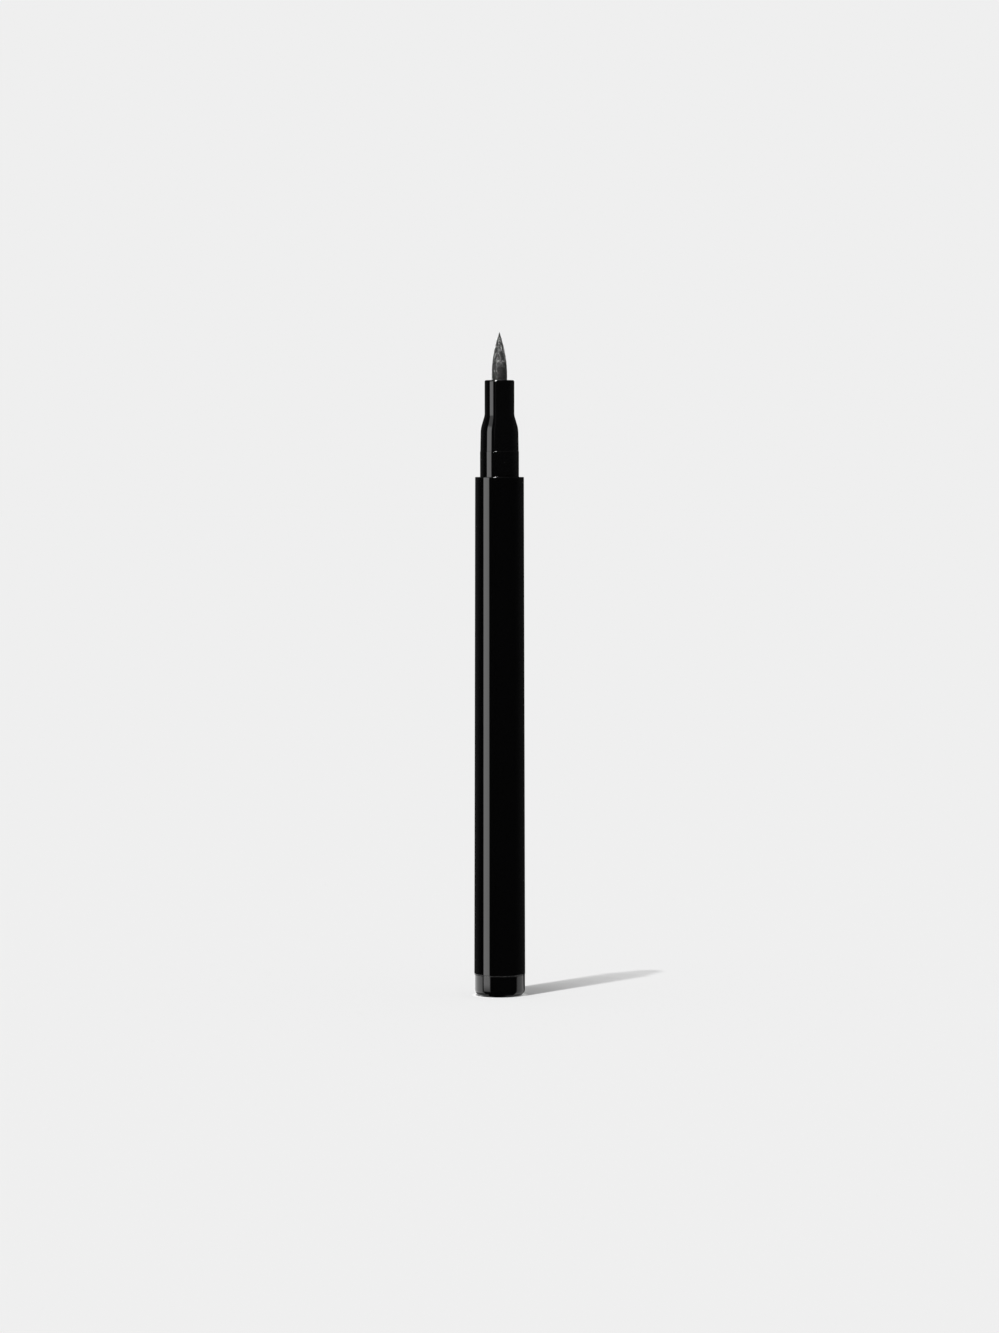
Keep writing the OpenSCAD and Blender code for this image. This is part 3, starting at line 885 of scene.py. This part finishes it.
def inked_tank_material():
    """Natural polypropylene, half clear, with runs of ink over its inner wall."""
    material, place = new_material("milky_tank")
    clouds = grain(place, 4 * MM, 3.0, (1, 1, 3))
    drawn = grain(place, 0.3 * MM, 2.0, (1, 1, 30))
    runs = grain(place, 0.9 * MM, 2.0, (1, 1, 12))
    radius = place.vector("MULTIPLY", (1, 1, 0)).length()
    inside = ((tank_bore_r + film_depth - radius) / film_depth).clamped()
    film = (inside * (0.6 + (runs - 0.4) * 2)).clamped()
    clean = tint(clouds, (0.7, 0.71, 0.7), (0.58, 0.59, 0.6))
    colour = tint(film, clean, (0.006, 0.006, 0.008))
    roughness = 0.26 + clouds * 0.1 - film * 0.15
    clear = {"IOR": 1.49, "Transmission Weight": 0.3}
    finish_material(place, colour, roughness, (drawn, 0.8, 6e-6), clear)
    return material


tank = turn(
    "ink_tank_milky",
    [(0, tank_z), (tank_r - tank_chamfer, tank_z), (tank_r, tank_z + tank_chamfer)]
    + stretch((tank_r, tank_z + tank_chamfer), (tank_r, tank_high.z - tank_edge), rings=20)
    + arc(tank_r - tank_edge, tank_high.z - tank_edge, tank_edge, 0, 90, steps=4)
    + [(tank_bore_r + tank_edge, tank_high.z), (tank_bore_r, tank_high.z - tank_edge)]
    + [(tank_bore_r, tank_floor_z + dish_depth), (0, tank_floor_z)],
    around=160,
)
tank.data.materials.append(inked_tank_material())
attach(tank, "pen")
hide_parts("ink_tank")

# Mixing ball
# A ground and polished steel ball, loose in the tank, that stirs the ink when the pen is shaken.
# It is wet with ink, in a broken film over it.
ball_low, ball_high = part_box("mixing_ball")
ball_r = (ball_high.z - ball_low.z) / 2
ball_z = (ball_high.z + ball_low.z) / 2


def wet_steel_material():
    """Polished steel under a broken film of ink, with fine lapping marks."""
    material, place = new_material("wet_steel")
    laps = grain(place, 0.03 * MM, 2.0, (1, 30, 1)) * grain(place, 0.03 * MM, 2.0, (30, 1, 1))
    film = ((grain(place, 1.1 * MM, 3.0) - 0.5) * 6).clamped()
    colour = tint(film, (0.56, 0.56, 0.57), (0.02, 0.02, 0.024))
    bare = {"Metallic": 1 - film, "IOR": 1.5}
    finish_material(place, colour, 0.09 + laps * 0.2, (laps, 0.5, 1e-6), bare)
    return material


ball_outline = arc(0, ball_z, ball_r, -90, 90, steps=48)
ball_outline[0], ball_outline[-1] = (0, ball_z - ball_r), (0, ball_z + ball_r)
ball = turn("mixing_ball_steel", ball_outline, around=96)
ball.data.materials.append(wet_steel_material())
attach(ball, "mixing_ball")
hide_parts("mixing_ball")

# Tail plug
# A black moulding with a rounded foot, pressed into the tail: its hollow spigot grips the bore
# with crush ribs. The gate's stub lies in a well under the foot, so that the pen stands level.
plug_low, plug_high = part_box("tail_plug")
plug_r = plug_high.x
spigot_top_z = plug_high.z
foot_z = plug_low.z
plug_floor = 1.8 * MM
foot_round = 1.15 * MM
plug_rim_round = 0.1 * MM
plug_wall = 1 * MM
plug_lead_in = 0.3 * MM
rib_r = 0.3 * MM
rib_h = 0.15 * MM
rib_count = 8
rib_sides = 24
spigot_r = bore_r - press_gap - rib_h
well_r = 0.9 * MM
well_depth = 0.25 * MM
stub_r = 0.35 * MM
stub_h = 0.12 * MM
stub_round = 0.03 * MM


def ribbed_plug(given):
    """The plug's body with its crush ribs set round the spigot."""
    circle = {"Vertices": given["Ribs"], "Radius": given["Ring Radius"]}
    ring = given["Base"].node("GeometryNodeMeshCircle", None, circle)
    rib = round_block(rib_sides, given["Rib Radius"], given["Rib Length"])
    ribs = ring.node("GeometryNodeInstanceOnPoints", None, {"Points": ring, "Instance": rib})
    lift = ring.node("ShaderNodeCombineXYZ", None, {"Z": given["Rib Middle"]})
    lifted = {"Instances": ribs, "Translation": lift}
    raised = ribs.node("GeometryNodeTranslateInstances", None, lifted)
    joined = raised.node("GeometryNodeJoinGeometry", None, {"Geometry": [given["Base"], raised]})
    return finished(joined, plug_plastic)


# The plug's pale grey band at its top rim is a painted highlight along the seam.
plug_plastic = gloss_black(
    "plug_plastic", barrel_black, haze=0.03, wear_and_highlight_grey=0.4, wear_and_highlight_heights=[tail_z]
)
plug_body = turn(
    "plug_body",
    [(0, well_depth - stub_h), (stub_r - stub_round, well_depth - stub_h)]
    + [(stub_r, well_depth - stub_h + stub_round), (stub_r, well_depth), (well_r, well_depth)]
    + [(well_r, stub_round), (well_r + stub_round, foot_z)]
    + stretch((well_r + stub_round, foot_z), (plug_r - foot_round, foot_z), rings=4)
    + arc(plug_r - foot_round, foot_z + foot_round, foot_round, -90, 0, steps=20)
    + stretch((plug_r, foot_z + foot_round), (plug_r, tail_z - plug_rim_round), rings=5)
    + arc(plug_r - plug_rim_round, tail_z - plug_rim_round, plug_rim_round, 0, 90, steps=6)
    + [
        (spigot_r, tail_z),
        (spigot_r, spigot_top_z - plug_lead_in),
        (spigot_r - plug_lead_in, spigot_top_z),
        (spigot_r - plug_wall, spigot_top_z),
        (spigot_r - plug_wall, plug_floor),
        (0, plug_floor),
    ],
)
plug_body.data.materials.append(plug_plastic)
rib_low_z = tail_z - plug_rim_round
rib_high_z = spigot_top_z - 2 * plug_lead_in
tail_plug = grow(
    "tail_plug_ribbed",
    plug_body,
    {
        "Ring Radius": spigot_r + rib_h - rib_r,
        "Rib Radius": rib_r,
        "Rib Length": rib_high_z - rib_low_z,
        "Rib Middle": (rib_high_z + rib_low_z) / 2,
    },
    {"Ribs": rib_count},
    ribbed_plug,
)
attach(tail_plug, "pen")
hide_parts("tail_plug")

# Stage
# A pale floor under soft daylight and a tall key light at the front left. Only reflections see
# what the gloss mirrors: a dark drum round the pen, with a bright strip and two small patches, and
# pale or dark sheets on the floor.
pale = 0.863
ambient = 0.45
key_side = math.radians(36.3)
key_spread = math.radians(1.2)
key_shares = {
    67.0: 0.24, 70.5: 0.05, 73.5: 0.055, 76.5: 0.055, 79.6: 0.055, 82.2: 0.05, 84.3: 0.045
}
floor_half = 8.0
floor_z = -0.02 * MM
# Painted light: how much brighter the paper is drawn close to the pen
painted_light_near_pen = 0.53
# Painted shadow: the paper is drawn dark within this distance in mm, fading over the next
painted_shadow_r = 3.4
painted_shadow_edge = 0.9
# A painted glowing ring on the floor under the foot's edge: its distance, half width and strength
foot_ring_r = 4.8
foot_ring_half = 0.9
foot_ring_painted_glow = 0.27
drum_r = 39.5 * MM
drum_h = 350 * MM
drum_sides = 180
sheet_z = 0.01 * MM
glow_top = 3.2
strip_z = 55 * MM
strip_lean = 0.029 / MM
strip_fade_z = 122.4 * MM
strip_fade_h = 6 * MM
strip_loss = 0.62
key_glow = 330.0
neck_glow = 0.2
# Each patch: its middle in degrees or in height, how soon it fades, and its peak before the cut
key_patch = (37, 1, 4.4)
key_patch_z = (200 * MM, 35 * MM, 1.6)
neck_patch = (29, 1, 1.8)
neck_patch_z = 108 * MM
neck_patch_edge = 4 * MM


def stage_mesh(name, points, faces, material):
    """A stage object from points and faces."""
    mesh = bpy.data.meshes.new(name)
    mesh.from_pydata(points, [], faces)
    mesh.materials.append(material)
    made = bpy.data.objects.new(name, mesh)
    bpy.context.scene.collection.objects.link(made)
    return made


def mirrored_only(made):
    """Hides a stage object from all but reflections."""
    for rays in ("camera", "diffuse", "transmission", "shadow", "volume_scatter"):
        setattr(made, f"visible_{rays}", False)


def shining(material, strength):
    """Ends a material in light of one strength."""
    light = strength.node("ShaderNodeEmission", None, {"Strength": strength})
    light.node("ShaderNodeOutputMaterial", None, {"Surface": light})
    material.cycles.emission_sampling = "NONE"
    return material


def glowing(name, glow, dark_within=0, full_from=1):
    """A material that gives off light, less towards the pen, between two distances in mm."""
    material, place = new_material(name)
    away = place.length()
    faded = ((away / MM - dark_within) / (full_from - dark_within)).clamped()
    return shining(material, faded * glow)


def drum_glow():
    """Light by the angle from the front towards the left: the strip, and two patches beside it."""
    material, place = new_material("drum_glow")
    z = place.part(2)
    lean = (z - strip_z) * strip_lean
    side = (place.part(0) * -1).math("ARCTAN2", place.part(1) * -1) * (180 / math.pi)
    degrees = side - lean
    around = [(-180, 0.015), (-149, 0.022), (-128, 0.03), (-107, 0.036), (-91, 0.02), (-71, 0.006)]
    around += [(46.2, 0.004), (46.8, 3.0), (75.2, 3.1), (76.0, 0.003), (91, 0.003), (102, 0.022)]
    around += [(110, 0.036), (119, 0.048), (130, 0.055), (142, 0.05), (154, 0.04), (180, 0.03)]
    share = (degrees + 180) / 360
    stops = [((angle + 180) / 360, glow / glow_top) for angle, glow in around]
    ring = share.node("ShaderNodeValToRGB", {"stops": stops}, {0: share})
    dim = 1 - ((z - strip_fade_z) / strip_fade_h).clamped() * strip_loss
    key_spot = side.near(*key_patch) * z.near(*key_patch_z)
    neck_spot = side.near(*neck_patch) * ((z - neck_patch_z) / neck_patch_edge).clamped()
    strength = ring * dim * glow_top + key_spot * key_glow + neck_spot * neck_glow
    return shining(material, strength)


# The floor's paper, by the distance from the pen's axis in millimetres: painted shadow under the
# pen and its foot's edge, painted light that brightens it close to the pen, and a painted glowing
# ring under the foot's edge
floor_material, floor_place = new_material("floor_paper")
away = floor_place.length() / MM
paper = (1 + painted_light_near_pen / away) * ((away - painted_shadow_r) / painted_shadow_edge).clamped() * pale
floor_paper = paper.node("ShaderNodeBsdfDiffuse", None, {"Color": paper})
# The painted glowing ring, added to the paper as light
foot_ring_glow = away.near(foot_ring_r, foot_ring_half) * foot_ring_painted_glow
lifted = paper.node("ShaderNodeEmission", None, {"Strength": foot_ring_glow})
floor_look = paper.node("ShaderNodeAddShader", None, {0: floor_paper, 1: lifted})
floor_look.node("ShaderNodeOutputMaterial", None, {"Surface": floor_look})
floor_material.cycles.emission_sampling = "NONE"
floor_sides = ((-1, -1), (1, -1), (1, 1), (-1, 1))
floor_points = [(x * floor_half, y * floor_half, floor_z) for x, y in floor_sides]
stage_mesh("floor", floor_points, [(0, 1, 2, 3)], floor_material)

drum_points = []
drum_faces = []
for i in range(drum_sides):
    angle = 2 * math.pi * i / drum_sides
    for height in (0, drum_h):
        drum_points.append((drum_r * math.cos(angle), drum_r * math.sin(angle), height))
    near, following = 2 * i, 2 * ((i + 1) % drum_sides)
    drum_faces.append((near, following, following + 1, near + 1))
mirrored_only(stage_mesh("drum", drum_points, drum_faces, drum_glow()))


def ring_part(inner, outer, start, end, steps=12):
    """Corners of part of a flat ring, in mm and in degrees from the front towards the left."""
    angles = [math.radians(start + (end - start) * i / steps) for i in range(steps + 1)]
    near = [(-inner * math.sin(a), -inner * math.cos(a)) for a in angles]
    far = [(-outer * math.sin(a), -outer * math.cos(a)) for a in reversed(angles)]
    return near + far


# Sheets on the floor, in millimetres: dark in front of the pen, pale at its left and at its foot.
# After a sheet's corners come its glow and, if it fades, the two distances between which it does
sheets = [
    (
        "sheet_front",
        [(-3.4, -3.9), (3.4, -3.7), (46, -9), (46, -46), (-46, -46), (-46, -8.5)],
        0.003,
    ),
    ("sheet_right", [(3.5, -3.7), (46, -5.2), (46, -9)], 0.3),
    ("sheet_left", [(-3.4, -3.5), (-46, -5.4), (-46, 46), (-3.4, 46)], 1.7),
    ("sheet_strip", [(-6.0, -4.5), (-46, -12.0), (-34, -35), (-4.1, -6.6)], 2.8, 7, 26),
    ("sheet_strip_edge", [(-4.1, -6.6), (-34, -35), (-31.8, -37), (-3.8, -6.8)], 0.4),
    ("sheet_foot_right", ring_part(4.2, 4.75, -14, -100), 0.2),
    ("sheet_foot_left", ring_part(4.2, 5.6, 48, 100), 0.35),
    ("sheet_foot_front", ring_part(4.2, 5.2, 30, 48), 0.33),
    ("sheet_shade", [(5.2, 0.4), (44, 42), (44, 46), (5.2, 46)], 0.03),
]
for layer, (name, outline, *glow) in enumerate(sheets):
    points = [(x * MM, y * MM, sheet_z * (1 + 0.5 * layer)) for x, y in outline]
    mirrored_only(stage_mesh(name, points, [tuple(range(len(points)))], glowing(name, *glow)))

# The key light is a column of narrow suns, each with its height in degrees and its share
for rise, share in key_shares.items():
    key = bpy.data.lights.new("key", "SUN")
    key.energy = math.pi * share / math.sin(math.radians(rise))
    key.angle = key_spread
    key_object = bpy.data.objects.new("key", key)
    key_object.rotation_euler = (math.pi / 2 - math.radians(rise), 0, -key_side)
    key_object.visible_glossy = False
    bpy.context.scene.collection.objects.link(key_object)

# The daylight, and the paler backdrop that only the camera, reflections and clear plastic see
world = bpy.data.worlds.new("studio")
world.use_nodes = True
bpy.context.scene.world = world
world.node_tree.nodes.clear()
rays = world.node_tree.nodes.new("ShaderNodeLightPath").outputs
seen = sum(Field(rays[f"Is {kind} Ray"]) for kind in ("Camera", "Glossy", "Transmission"))
sky = tint(seen, (ambient,) * 3, (pale,) * 3)
background = sky.node("ShaderNodeBackground", None, {"Color": sky, "Strength": 1.0})
background.node("ShaderNodeOutputWorld", None, {"Surface": background})

# Camera
# Near the pen and as high as its neck, as in the photograph: the rims above look straight and the
# foot is seen a little from above.
camera_far = 0.9
camera_z = 105 * MM
camera_tilt = math.radians(2.57)
camera_roll = math.radians(0.03)
lens = 124.18
sensor = 36.0
camera = bpy.data.cameras.new("camera")
camera.lens = lens
camera.sensor_width = sensor
camera.clip_end = 100.0
camera_object = bpy.data.objects.new("camera", camera)
camera_object.location = (0, -camera_far, camera_z)
camera_object.rotation_euler = (math.pi / 2 - camera_tilt, camera_roll, 0)
bpy.context.scene.collection.objects.link(camera_object)
bpy.context.scene.camera = camera_object
bpy.context.scene.view_settings.view_transform = "Standard"
